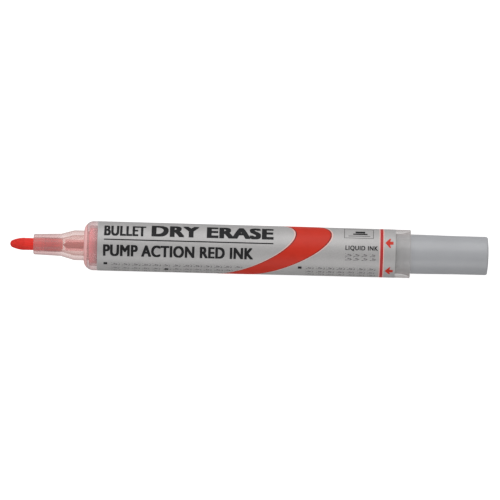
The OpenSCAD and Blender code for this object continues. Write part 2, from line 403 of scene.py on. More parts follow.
# The milky and clear plastic turn to a darker painted edge shade along their outlines.
MILKY = ClearFinish("milky_plastic", (0.52, 0.33, 0.32), 0.28, grain=0.04, cloud=0.03, milk=0.25,
                    tint=(0.93, 0.80, 0.795), far_colour=(0.72, 0.43, 0.395), far_tint=(0.94, 0.905, 0.895),
                    fade_start=-0.0575, fade_end=-0.0535, edge=0.60, edge_shade_colour=(0.42, 0.36, 0.34), edge_power=2.2)
RIB = ClearFinish("milky_rib", (0.52, 0.33, 0.32), 0.28, milk=0.08, tint=(0.98, 0.93, 0.93))
CLEAR = ClearFinish("clear_plastic", (0.70, 0.42, 0.42), 0.14, grain=0.03, grain_mm=0.6, cloud=0.02, milk=0.22,
                    tint=(0.90, 0.84, 0.84), far_colour=(0.46, 0.45, 0.44), far_tint=(0.95, 0.945, 0.94),
                    fade_start=-0.0462, fade_end=-0.0430, edge=0.62, edge_shade_colour=(0.43, 0.35, 0.35), edge_power=1.7)
HOUSING = ClearFinish("housing_plastic", (0.60, 0.13, 0.14), 0.35, milk=0.06, tint=(0.97, 0.70, 0.72))
FILM = FilmFinish("silver_film", (0.380, 0.371, 0.369), 0.50, metallic=0.18, cloud=0.03, grain=0.05, grain_mm=0.12,
                  relief_mm=0.0015)
PLUNGER_GREY = Finish("plunger_grey", (0.34, 0.345, 0.36), 0.38, cloud=0.03, grain=0.05, grain_mm=0.18)
NATURAL = Finish("natural_plastic", (0.80, 0.79, 0.75), 0.35)
RUBBER = Finish("seal_rubber", (0.02, 0.02, 0.022), 0.65, grain_mm=0.12, relief_mm=0.004)
STEEL_WIRE = Finish("spring_steel", (0.55, 0.56, 0.58), 0.28, metallic=1.0, grain_mm=0.05, stretch=0.3)
BALL_STEEL = Finish("ball_steel", (0.78, 0.79, 0.80), 0.12, metallic=1.0, relief_mm=0.0005)
INK = ClearFinish("red_ink", (0.45, 0.02, 0.02), 0.08, milk=0.75, tint=(0.8, 0.05, 0.05), ior=1.36, relief_mm=0.0)
# A pale milky skin for the barrel's front face: a painted highlight where the shoulder starts to turn.
RIM_HIGHLIGHT = ClearFinish("painted_rim_highlight", (0.95, 0.62, 0.61), 0.4, milk=0.55, tint=(0.96, 0.88, 0.88), grain_mm=0.2)
INK_FILM = ClearFinish("ink_film", (0.90, 0.33, 0.345), 0.2, milk=0.75, tint=(0.9, 0.4, 0.4), cloud=0.12,
                       cloud_mm=1.6, far_colour=(0.58, 0.245, 0.262), far_tint=(0.9, 0.4, 0.4),
                       fade_start=-0.0468, fade_end=-0.0438)
BORE_INK = ClearFinish("bore_ink", (0.60, 0.10, 0.11), 0.2, milk=0.12, tint=(0.97, 0.84, 0.84))
BLACK_PRINT = Finish("black_print", (0.010, 0.010, 0.011), 0.6, cloud=0.2, cloud_mm=1.5, grain_mm=0.1,
                     relief_mm=0.001, ior=1.28)
GREY_PRINT = Finish("grey_print", (0.045, 0.044, 0.045), 0.6, cloud=0.2, cloud_mm=1.0, grain_mm=0.1,
                    relief_mm=0.001, ior=1.28)
RED_PRINT = Finish("red_print", (0.50, 0.025, 0.011), 0.5, cloud=0.05, cloud_mm=4.0, grain_mm=0.1, relief_mm=0.001,
                   ior=1.30)
DARK_RED_PRINT = Finish("dark_red_print", (0.17, 0.012, 0.013), 0.5, cloud=0.05, grain_mm=0.1,
                        relief_mm=0.001, ior=1.3)
RING_PRINT = Finish("ring_print", (0.40, 0.028, 0.03), 0.5, cloud=0.05, grain_mm=0.1, relief_mm=0.001, ior=1.3)
PALE_PRINT = Finish("pale_print", (0.68, 0.45, 0.41), 0.5, cloud=0.05, grain_mm=0.1, relief_mm=0.001, ior=1.3)


# ---------------------------------------------------------------- mesh work


@dataclass(frozen=True)
class Span:
    """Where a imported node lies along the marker, and how far it reaches from the axis."""

    start: float
    end: float
    radius: float

    @staticmethod
    def of(node: str) -> "Span":
        """Measures a node."""
        low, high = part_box(node)
        return Span(low.x, high.x, (high.y - low.y) / 2)


def axis_height() -> float:
    """Returns how high the marker's axis lies."""
    low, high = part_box("plunger")
    return (low.z + high.z) / 2


AXIS_Z = axis_height()


def on_axis(x: float, radius: float, turn: float) -> Vector:
    """Returns the point at x, at this distance from the axis and turn in radians."""
    return Vector((x, radius * math.sin(turn), AXIS_Z + radius * math.cos(turn)))


@dataclass(frozen=True)
class Corner:
    """A corner of an outline, with the radius that rounds it."""

    x: float
    r: float
    fillet: float = 0.0


def rounded(corners: Sequence[Corner], closed: bool, steps: int = 6) -> Outline:
    """Turns corners into points, with an arc at each rounded corner.

    Args:
        corners: the outline's corners in order.
        closed: whether the last corner joins the first.
        steps: straight pieces in each arc.

    Returns:
        The outline's points.
    """
    points: Outline = []
    count = len(corners)
    for i, corner in enumerate(corners):
        here = Vector((corner.x, corner.r))
        inner = closed or 0 < i < count - 1
        if not corner.fillet or not inner:
            points.append((corner.x, corner.r))
            continue
        before, after = corners[i - 1], corners[(i + 1) % count]
        back, on = Vector((before.x, before.r)) - here, Vector((after.x, after.r)) - here
        half = back.angle(on) / 2
        reach = min(corner.fillet / math.tan(half), 0.49 * back.length, 0.49 * on.length)
        radius = reach * math.tan(half)
        centre = here + (back.normalized() + on.normalized()).normalized() * (radius / math.sin(half))
        first, last = here + back.normalized() * reach - centre, here + on.normalized() * reach - centre
        sweep = first.angle(last)
        for k in range(steps + 1):
            t = k / steps
            spoke = (first * math.sin((1 - t) * sweep) + last * math.sin(t * sweep)) / math.sin(sweep)
            points.append(tuple(centre + spoke))
    return points


def arc(centre_x: float, centre_r: float, radius: float, start: float, end: float, steps: int) -> Outline:
    """Lays points along an arc.

    Args:
        centre_x: the X of its centre.
        centre_r: how far its centre is from the axis.
        radius: its radius.
        start: the angle where it starts, in degrees from +X towards +radius.
        end: the angle where it ends.
        steps: how many straight pieces it has.

    Returns:
        The arc's points.
    """
    turns = [math.radians(start + (end - start) * i / steps) for i in range(steps + 1)]
    return [(centre_x + radius * math.cos(a), centre_r + radius * math.sin(a)) for a in turns]


def supported(points: Outline, closed: bool, pitch: float = 0.8 * MM, margin: float = 0.04 * MM) -> Outline:
    """Adds points along the straight stretches, close to each end first, so that smooth shading stays true.

    Args:
        points: the outline.
        closed: whether its last point joins the first.
        pitch: the distance between the points that are added.
        margin: how close to each end the first of them lies.

    Returns:
        The outline with the points added.
    """
    result: Outline = []
    count = len(points)
    for i, (x, r) in enumerate(points):
        result.append((x, r))
        if i == count - 1 and not closed:
            break
        to_x, to_r = points[(i + 1) % count]
        length = math.hypot(to_x - x, to_r - r)
        if length < 4 * margin:
            continue
        inner = max(1, round((length - 2 * margin) / pitch))
        shares = [(margin + (length - 2 * margin) * k / inner) / length for k in range(inner + 1)]
        result += [(x + (to_x - x) * t, r + (to_r - r) * t) for t in shares]
    return result


def finish_mesh(name: str, bm: bmesh.types.BMesh, material: bpy.types.Material,
                smooth: bool = True) -> bpy.types.Object:
    """Closes a mesh's seams, turns its faces outwards and makes an object of it.

    Args:
        name: the piece's name.
        bm: the mesh.
        material: its material.
        smooth: whether its faces are smooth.

    Returns:
        The new object, at the origin.
    """
    bmesh.ops.remove_doubles(bm, verts=bm.verts, dist=1e-8)
    bmesh.ops.recalc_face_normals(bm, faces=bm.faces)
    for face in bm.faces:
        face.smooth = smooth
    mesh = bpy.data.meshes.new(name)
    bm.to_mesh(mesh)
    bm.free()
    mesh.materials.append(material)
    made = bpy.data.objects.new(name, mesh)
    bpy.context.scene.collection.objects.link(made)
    return made


def lathe(name: str, points: Outline, closed: bool, material: bpy.types.Material,
          around: int = 144) -> bpy.types.Object:
    """Turns an outline round the marker's axis.

    Args:
        name: the piece's name.
        points: the outline; an open one starts and ends on the axis.
        closed: whether the last point joins the first.
        material: the piece's material.
        around: how many steps go round the axis.

    Returns:
        The new object.
    """
    bm = bmesh.new()
    rings = []
    for x, r in points:
        if r < 1e-9:
            rings.append([bm.verts.new(on_axis(x, 0, 0))] * around)
        else:
            rings.append([bm.verts.new(on_axis(x, r, math.tau * j / around)) for j in range(around)])
    count = len(rings)
    for i in range(count if closed else count - 1):
        here, there = rings[i], rings[(i + 1) % count]
        for j in range(around):
            k = (j + 1) % around
            corners = [here[j], here[k], there[k], there[j]]
            bm.faces.new(list(dict.fromkeys(corners)))
    return finish_mesh(name, bm, material)


def join(name: str, pieces: Sequence[bpy.types.Object]) -> bpy.types.Object:
    """Makes one piece of several that share a material, and removes them.

    Args:
        name: the joined piece's name.
        pieces: the pieces to join.

    Returns:
        The joined piece.
    """
    bm = bmesh.new()
    for piece in pieces:
        bm.from_mesh(piece.data)
    mesh = bpy.data.meshes.new(name)
    bm.to_mesh(mesh)
    bm.free()
    mesh.materials.append(pieces[0].data.materials[0])
    for piece in pieces:
        bpy.data.meshes.remove(piece.data)
    made = bpy.data.objects.new(name, mesh)
    bpy.context.scene.collection.objects.link(made)
    return made


class GeometryTree:
    """A geometry node tree with named inputs, run once on a piece and then turned into a plain mesh."""

    def __init__(self, name: str, inputs: dict[str, str]) -> None:
        """Makes the tree.

        Args:
            name: the tree's name.
            inputs: each input's name and socket type, after the geometry.
        """
        self.tree = bpy.data.node_groups.new(name, "GeometryNodeTree")
        face = self.tree.interface
        face.new_socket("Geometry", in_out="INPUT", socket_type="NodeSocketGeometry")
        face.new_socket("Geometry", in_out="OUTPUT", socket_type="NodeSocketGeometry")
        self.ids = {n: face.new_socket(n, in_out="INPUT", socket_type=t).identifier for n, t in inputs.items()}
        self.kit = NodeKit(self.tree)
        self.given = self.kit.add("NodeGroupInput").outputs
        self.result = self.kit.add("NodeGroupOutput")

    def end(self, geometry: bpy.types.NodeSocket) -> None:
        """Ends the tree in Realize Instances and Set Material.

        Args:
            geometry: the socket that brings the finished geometry.
        """
        real = self.kit.add("GeometryNodeRealizeInstances", {"Geometry": geometry}).outputs[0]
        dressed = self.kit.add("GeometryNodeSetMaterial", {"Geometry": real, "Material": self.given["Material"]})
        self.tree.links.new(dressed.outputs[0], self.result.inputs[0])

    def run(self, piece: bpy.types.Object, values: dict[str, object], smooth: bool = True) -> bpy.types.Object:
        """Runs the tree on a piece and keeps its result as the piece's own mesh.

        Args:
            piece: the piece whose mesh goes into the tree.
            values: a value for each named input.
            smooth: whether the result's faces are smooth.

        Returns:
            The piece.
        """
        modifier = piece.modifiers.new(self.tree.name, "NODES")
        modifier.node_group = self.tree
        for name, value in values.items():
            modifier[self.ids[name]] = value
        graph = bpy.context.evaluated_depsgraph_get()
        mesh = bpy.data.meshes.new_from_object(piece.evaluated_get(graph), depsgraph=graph)
        mesh.name = piece.name
        piece.modifiers.clear()
        piece.data = mesh
        for face in mesh.polygons:
            face.use_smooth = smooth
        return piece


def ring_tree() -> GeometryTree:
    """Builds the tree that repeats a piece evenly round the marker's axis.

    Returns:
        The tree.
    """
    made = GeometryTree("repeat_round_axis", {
        "Count": "NodeSocketInt", "Axis height": "NodeSocketFloat", "First turn": "NodeSocketFloat",
        "Material": "NodeSocketMaterial"})
    kit, given = made.kit, made.given
    down = kit.math("MULTIPLY", given["Axis height"], -1.0)
    lowered = kit.add("GeometryNodeTransform", {
        "Geometry": given["Geometry"],
        "Translation": kit.add("ShaderNodeCombineXYZ", {"Z": down}).outputs[0]}).outputs[0]
    centre = kit.add("ShaderNodeCombineXYZ", {"Z": given["Axis height"]}).outputs[0]
    points = kit.add("GeometryNodePoints", {"Count": given["Count"], "Position": centre}).outputs[0]
    index = kit.add("GeometryNodeInputIndex").outputs[0]
    share = kit.add("ShaderNodeMath", {0: index, 1: given["Count"]}, operation="DIVIDE").outputs[0]
    turn = kit.add("ShaderNodeMath", {0: share, 1: -math.tau, 2: given["First turn"]}, operation="MULTIPLY_ADD")
    euler = kit.add("ShaderNodeCombineXYZ", {"X": turn.outputs[0]}).outputs[0]
    rotation = kit.add("FunctionNodeEulerToRotation", {"Euler": euler}).outputs[0]
    made.end(kit.add("GeometryNodeInstanceOnPoints", {
        "Points": points, "Instance": lowered, "Rotation": rotation}).outputs[0])
    return made


def coil_tree() -> GeometryTree:
    """Builds the tree of a compression spring along X, with a closed coil at each end.

    Returns:
        The tree.
    """
    made = GeometryTree("compression_spring", {
        "Coil radius": "NodeSocketFloat", "Wire radius": "NodeSocketFloat", "Length": "NodeSocketFloat",
        "Turns": "NodeSocketFloat", "Start": "NodeSocketVector", "Material": "NodeSocketMaterial"})
    kit, given = made.kit, made.given
    closed_share = 0.11
    spiral = kit.add("GeometryNodeCurveSpiral", {
        "Resolution": 36, "Rotations": given["Turns"], "Start Radius": given["Coil radius"],
        "End Radius": given["Coil radius"], "Height": 1.0})
    share = kit.add("GeometryNodeSplineParameter").outputs["Factor"]
    wire = kit.math("MULTIPLY", given["Wire radius"], 2.0)
    closed_rise = kit.math("MULTIPLY", kit.math("MULTIPLY", given["Turns"], wire), closed_share)
    front = kit.math("DIVIDE", share, closed_share, clamp=True)
    back = kit.math("DIVIDE", kit.math("SUBTRACT", share, 1 - closed_share), closed_share, clamp=True)
    middle = kit.math("DIVIDE", kit.math("SUBTRACT", share, closed_share), 1 - 2 * closed_share, clamp=True)
    both_closed = kit.math("MULTIPLY", closed_rise, 2.0)
    open_rise = kit.math("SUBTRACT", kit.math("SUBTRACT", given["Length"], wire), both_closed)
    ends = kit.math("MULTIPLY", kit.math("ADD", front, back), closed_rise)
    rise = kit.math("ADD", kit.math("ADD", kit.math("MULTIPLY", middle, open_rise), ends), given["Wire radius"])
    place = kit.add("ShaderNodeSeparateXYZ", {0: kit.add("GeometryNodeInputPosition").outputs[0]}).outputs
    along = kit.add("ShaderNodeCombineXYZ", {"X": rise, "Y": place["X"], "Z": place["Y"]}).outputs[0]
    laid = kit.add("GeometryNodeSetPosition", {"Geometry": spiral.outputs[0], "Position": along}).outputs[0]
    circle = {"Resolution": 14, "Radius": given["Wire radius"]}
    section = kit.add("GeometryNodeCurvePrimitiveCircle", circle).outputs[0]
    wire_mesh = kit.add("GeometryNodeCurveToMesh", {"Curve": laid, "Profile Curve": section, "Fill Caps": True})
    placed = {"Geometry": wire_mesh.outputs[0], "Translation": given["Start"]}
    made.end(kit.add("GeometryNodeTransform", placed).outputs[0])
    return made


def small_print_tree() -> GeometryTree:
    """Builds the tree that lays rows of unreadable words on the label, each of a random length.

    Returns:
        The tree.
    """
    made = GeometryTree("small_print", {
        "Rows": "NodeSocketInt", "Words": "NodeSocketInt", "Word pitch": "NodeSocketFloat",
        "Row turn": "NodeSocketFloat", "Start": "NodeSocketFloat", "First turn": "NodeSocketFloat",
        "Radius": "NodeSocketFloat", "Draft": "NodeSocketFloat", "Axis height": "NodeSocketFloat",
        "Seed": "NodeSocketInt", "Material": "NodeSocketMaterial"})
    kit, given = made.kit, made.given
    count = kit.math("MULTIPLY", given["Rows"], given["Words"])
    points = kit.add("GeometryNodePoints", {"Count": count}).outputs[0]
    index = kit.add("GeometryNodeInputIndex").outputs[0]
    row = kit.math("FLOOR", kit.math("DIVIDE", index, given["Words"]))
    word = kit.math("SUBTRACT", index, kit.math("MULTIPLY", row, given["Words"]))
    place_x = kit.math("MULTIPLY_ADD", word, given["Word pitch"], given["Start"])
    turn = kit.math("MULTIPLY_ADD", row, given["Row turn"], given["First turn"])
    flat = kit.add("ShaderNodeCombineXYZ", {"X": place_x, "Y": turn}).outputs[0]
    laid = kit.add("GeometryNodeSetPosition", {"Geometry": points, "Position": flat}).outputs[0]
    shortest, longest = 0.78, 1.0
    inputs = {2: shortest, 3: longest, "ID": index, "Seed": given["Seed"]}
    length = kit.add("FunctionNodeRandomValue", inputs, data_type="FLOAT")
    scale = kit.add("ShaderNodeCombineXYZ", {"X": length.outputs[1], "Y": 1.0, "Z": 1.0}).outputs[0]
    words = kit.add("GeometryNodeInstanceOnPoints", {
        "Points": laid, "Instance": given["Geometry"], "Scale": scale}).outputs[0]
    real = kit.add("GeometryNodeRealizeInstances", {"Geometry": words}).outputs[0]
    at = kit.add("ShaderNodeSeparateXYZ", {0: kit.add("GeometryNodeInputPosition").outputs[0]}).outputs
    from_start = kit.math("SUBTRACT", at["X"], given["Start"])
    radius = kit.math("MULTIPLY_ADD", from_start, given["Draft"], kit.math("ADD", given["Radius"], at["Z"]))
    side = kit.math("MULTIPLY", radius, kit.math("SINE", at["Y"]))
    height = kit.math("MULTIPLY_ADD", radius, kit.math("COSINE", at["Y"]), given["Axis height"])
    wrapped = kit.add("ShaderNodeCombineXYZ", {"X": at["X"], "Y": side, "Z": height}).outputs[0]
    made.end(kit.add("GeometryNodeSetPosition", {"Geometry": real, "Position": wrapped}).outputs[0])
    return made


def let_light_in(piece: bpy.types.Object) -> None:
    """Stops a see-through piece from shading what it holds, which clear plastic hardly does."""
    piece.visible_shadow = False


def ride(piece: bpy.types.Object, body: Body, slot: Slot, *nodes: str) -> bpy.types.Object:
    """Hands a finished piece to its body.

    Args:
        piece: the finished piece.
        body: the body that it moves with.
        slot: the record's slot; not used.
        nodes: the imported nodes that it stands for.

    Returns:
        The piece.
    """
    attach(piece, body.value)
    if nodes:
        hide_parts(*nodes)
    log.info("%s rides on %s, %d faces", piece.name, body.value, len(piece.data.polygons))
    return piece


# ---------------------------------------------------------------- the marker's pieces


@dataclass
class Nib:
    """The bullet nib: a core of bonded fibre with its outer strands laid along it."""

    span: Span = field(default_factory=lambda: Span.of("nib"))
    nose_length: float = 4.28 * MM
    ogive_radius: float = 9.0 * MM
    tail_bevel: float = 0.8 * MM
    tail_radius: float = 1.2 * MM
    strand_count: int = 84
    strand_radius: float = 0.062 * MM
    core_inset: float = 0.03 * MM
    core_steps: int = 96

    def nose_radius(self) -> float:
        """Returns the radius of the small arc at the tip, which meets the long arc smoothly."""
        big, gap = self.ogive_radius, self.ogive_radius - self.span.radius
        return (big**2 - gap**2 - self.nose_length**2) / (2 * (big - self.nose_length))

    def outline(self, inset: float) -> Outline:
        """Draws the nib's outline from its tip to its tail.

        Args:
            inset: how far it is drawn in.

        Returns:
            The outline's points.
        """
        tip, small, full = self.span.start, self.nose_radius(), self.span.radius
        meet = math.degrees(math.atan2(self.ogive_radius - full, small - self.nose_length))
        nose = arc(tip + small, 0, small - inset, 180, meet, 12)
        ogive = arc(tip + self.nose_length, full - self.ogive_radius, self.ogive_radius - inset, meet, 90, 16)
        nose[0] = (nose[0][0], 0.0)
        tail = [(self.span.end - self.tail_bevel, full - inset), (self.span.end - inset, self.tail_radius),
                (self.span.end - inset, 0.0)]
        return nose + ogive[1:] + tail

    def strand(self) -> bpy.types.Object:
        """Builds the top strand, which follows the outline from near the tip to the tail.

        Returns:
            The strand.
        """
        path = [p for p in self.outline(self.strand_radius) if p[1] > 0.35 * MM][:-2]
        path = supported(path, closed=False, pitch=1.0 * MM)
        sides = 5
        bm = bmesh.new()
        rings = []
        for i, (x, r) in enumerate(path):
            before, after = path[max(i - 1, 0)], path[min(i + 1, len(path) - 1)]
            along = Vector((after[0] - before[0], after[1] - before[1])).normalized()
            width = self.strand_radius * min(1.0, 0.35 + r / self.span.radius)
            ring = []
            for k in range(sides):
                a = math.tau * k / sides
                out = width * math.cos(a)
                ring.append(bm.verts.new((x - along.y * out, width * math.sin(a), AXIS_Z + r + along.x * out)))
            rings.append(ring)
        for here, there in zip(rings, rings[1:]):
            for k in range(sides):
                bm.faces.new((here[k], here[(k + 1) % sides], there[(k + 1) % sides], there[k]))
        bm.faces.new(rings[0])
        bm.faces.new(rings[-1])
        return finish_mesh("nib_strands", bm, NIB_FIBRE.material())

    def build(self, ring: GeometryTree) -> None:
        """Builds the core and lays the strands round it.

        Args:
            ring: the tree that repeats a piece round the axis.
        """
        outline = supported(self.outline(self.core_inset), closed=False)
        core = lathe("nib_core", outline, False, NIB_FIBRE.material(), self.core_steps)
        ride(core, Body.MARKER, Slot.NIB, "nib")
        strands = ring.run(self.strand(), {
            "Count": self.strand_count, "Axis height": AXIS_Z, "First turn": 0.0, "Material": NIB_FIBRE.material()})
        ride(strands, Body.MARKER, Slot.NIB)


@dataclass
class Nozzle:
    """The milky front piece: slim front, cone, cap seat and the plug inside the neck."""

    span: Span = field(default_factory=lambda: Span.of("nozzle"))
    neck_x: float = field(default_factory=lambda: Span.of("barrel").start)
    front_radius: float = 2.98 * MM
    waist_radius: float = 3.25 * MM
    seat_radius: float = 4.35 * MM
    plug_radius: float = 4.16 * MM
    slim_length: float = 8.0 * MM
    cone_length: float = 3.9 * MM
    bore_radius: float = 2.05 * MM
    rear_bore_radius: float = 3.0 * MM
    rib_count: int = 6
    rib_width: float = 0.5 * MM
    nib_radius: float = field(default_factory=lambda: Span.of("nib").radius)

    def shell(self) -> bpy.types.Object:
        """Builds the moulded shell.

        Returns:
            The shell.
        """
        front, end, neck = self.span.start, self.span.end, self.neck_x
        cone = front + self.slim_length
        seat = cone + self.cone_length
        corners = [
            Corner(front, self.bore_radius, 0.12 * MM), Corner(front, self.front_radius, 0.45 * MM),
            Corner(cone, self.waist_radius, 2.0 * MM), Corner(seat, self.seat_radius, 1.5 * MM),
            Corner(neck - 0.02 * MM, self.seat_radius, 0.06 * MM), Corner(neck, self.plug_radius),
            Corner(end, self.plug_radius, 0.3 * MM), Corner(end, self.rear_bore_radius, 0.1 * MM),
            Corner(seat - 0.2 * MM, self.rear_bore_radius, 0.6 * MM),
            Corner(cone + 0.5 * MM, self.bore_radius, 0.6 * MM)]
        return lathe("nozzle_shell", supported(rounded(corners, True), True), True, MILKY.material())

    def rib(self) -> bpy.types.Object:
        """Builds the top rib inside the bore, rounded where it touches the nib.

        Returns:
            The rib.
        """
        bm = bmesh.new()
        half, outer, steps = self.rib_width / 2, self.bore_radius + 0.1 * MM, 6
        section = [(-half, outer)]
        for k in range(steps + 1):
            a = math.pi * k / steps
            lift = 0.1 * MM * math.sin(a)
            section.append((-half * math.cos(a), self.nib_radius + 0.11 * MM - lift))
        section.append((half, outer))
        start, end = self.span.start + 0.6 * MM, self.span.start + self.slim_length - 0.4 * MM
        rings = [[bm.verts.new((x, y, AXIS_Z + r)) for y, r in section] for x in (start, end)]
        for k in range(len(section)):
            j = (k + 1) % len(section)
            bm.faces.new((rings[0][k], rings[0][j], rings[1][j], rings[1][k]))
        bm.faces.new(rings[0])
        bm.faces.new(rings[1])
        return finish_mesh("nozzle_ribs", bm, RIB.material(), smooth=False)

    def build(self, ring: GeometryTree) -> None:
        """Builds the shell and its ribs.

        Args:
            ring: the tree that repeats a piece round the axis.
        """
        let_light_in(ride(self.shell(), Body.MARKER, Slot.MILKY, "nozzle"))
        ribs = ring.run(self.rib(), {
            "Count": self.rib_count, "Axis height": AXIS_Z, "First turn": math.pi / self.rib_count,
            "Material": RIB.material()}, smooth=False)
        let_light_in(ride(ribs, Body.MARKER, Slot.MILKY))


@dataclass
class Barrel:
    """The clear moulded tube: round shoulder, neck sleeve, drafted wall, and the lip at its rear mouth."""

    span: Span = field(default_factory=lambda: Span.of("barrel"))
    plug_end: float = field(default_factory=lambda: Span.of("nozzle").end)
    bulkhead_x: float = field(default_factory=lambda: Span.of("pump_cylinder").start)
    rear_radius: float = 7.01 * MM
    shoulder_radius: float = 2.84 * MM
    tank_radius: float = 5.9 * MM
    bore_radius: float = 6.0 * MM
    neck_bore: float = 4.2 * MM
    sleeve_radius: float = 5.15 * MM
    floor_depth: float = 1.5 * MM
    lip_radius: float = 5.82 * MM
    mouth_radius: float = 6.5 * MM
    lip_start: float = 5.6 * MM
    lip_length: float = 3.1 * MM
    # How far the painted rim highlight stands off the shoulder, and the turns of the shoulder where it starts and
    # ends.
    highlight_depth: float = 0.012 * MM
    highlight_from: float = 172.0
    highlight_to: float = 133.0

    def radius_at(self, x: float) -> float:
        """Returns the drafted outer wall's radius at x."""
        start, end = self.span.start + self.shoulder_radius, self.span.end
        return self.span.radius + (self.rear_radius - self.span.radius) * (x - start) / (end - start)

    def build(self) -> None:
        """Builds the tube."""
        front, end, full = self.span.start, self.span.end, self.span.radius
        bend, lip = self.shoulder_radius, self.span.end - self.lip_start
        shoulder = arc(front + bend, full - bend, bend, 180, 90, 16)
        rear = rounded([
            Corner(front + bend + 0.2 * MM, full), Corner(end, self.rear_radius, 0.4 * MM),
            Corner(end, self.mouth_radius, 0.1 * MM), Corner(lip + self.lip_length, self.lip_radius, 0.3 * MM),
            Corner(lip, self.lip_radius, 0.1 * MM), Corner(lip, self.bore_radius),
            Corner(self.bulkhead_x, self.bore_radius), Corner(self.bulkhead_x, self.tank_radius),
            Corner(front + self.floor_depth, self.tank_radius, 0.74 * MM),
            Corner(front + self.floor_depth, self.sleeve_radius + 0.005 * MM, 0.0),
            Corner(self.plug_end, self.sleeve_radius, 0.15 * MM), Corner(self.plug_end, self.neck_bore, 0.1 * MM),
            Corner(front, self.neck_bore)], closed=False)
        piece = lathe("barrel_tube", supported(shoulder + rear[1:], True, pitch=1.5 * MM), True, CLEAR.material())
        let_light_in(ride(piece, Body.MARKER, Slot.CLEAR, "barrel"))
        self.paint_rim_highlight()

    def paint_rim_highlight(self) -> None:
        """Lays a painted highlight on the front face, where the shoulder starts to turn: a thin pale milky skin
        that stands in for the light caught by the rim.
        """
        bend, full = self.shoulder_radius, self.span.radius
        centre_x, centre_r = self.span.start + bend, full - bend
        outer = arc(centre_x, centre_r, bend + self.highlight_depth, self.highlight_from, self.highlight_to, 8)
        inner = arc(centre_x, centre_r, bend + self.highlight_depth / 4, self.highlight_to, self.highlight_from, 8)
        piece = lathe("barrel_rim_highlight", outer + inner, True, RIM_HIGHLIGHT.material())
        let_light_in(ride(piece, Body.MARKER, Slot.CLEAR))


@dataclass
class Plunger:
    """The grey push piece: a hollow drafted cup with a flange, a soft rear edge and a gate mark in its dome."""

    span: Span = field(default_factory=lambda: Span.of("plunger"))
    guide_radius: float = 5.74 * MM
    post_radius: float = 5.6 * MM
    post_length: float = 9.2 * MM
    flange_length: float = 3.4 * MM
    guide_length: float = 11.0 * MM
    wall: float = 1.04 * MM
    end_wall: float = 1.5 * MM
    edge_radius: float = 0.5 * MM
    dome: float = 0.38 * MM
    gate_radius: float = 0.6 * MM

    def build(self) -> None:
        """Builds the cup from the inside out."""
        start, end, flange = self.span.start, self.span.end, self.span.start + self.flange_length
        inner = self.guide_radius - self.wall
        corners = [
            Corner(end - self.end_wall, 0), Corner(end - self.end_wall, inner - 0.05 * MM, 0.4 * MM),
            Corner(start, inner, 0.1 * MM), Corner(start, self.span.radius, 0.3 * MM),
            Corner(flange, self.span.radius, 0.1 * MM), Corner(flange, self.guide_radius, 0.05 * MM),
            Corner(start + self.guide_length, self.guide_radius, 30 * MM),
            Corner(end - self.post_length, self.post_radius, 30 * MM),
            Corner(end - self.dome, self.post_radius, self.edge_radius),
            Corner(end - 0.12 * MM, self.post_radius * 0.6, 12 * MM),
            Corner(end, self.gate_radius * 1.5, 0.3 * MM), Corner(end - 0.12 * MM, self.gate_radius, 0.2 * MM),
            Corner(end - 0.14 * MM, 0)]
        piece = lathe("plunger_cup", supported(rounded(corners, False), False), False, PLUNGER_GREY.material())
        ride(piece, Body.PLUNGER, Slot.GREY, "plunger")


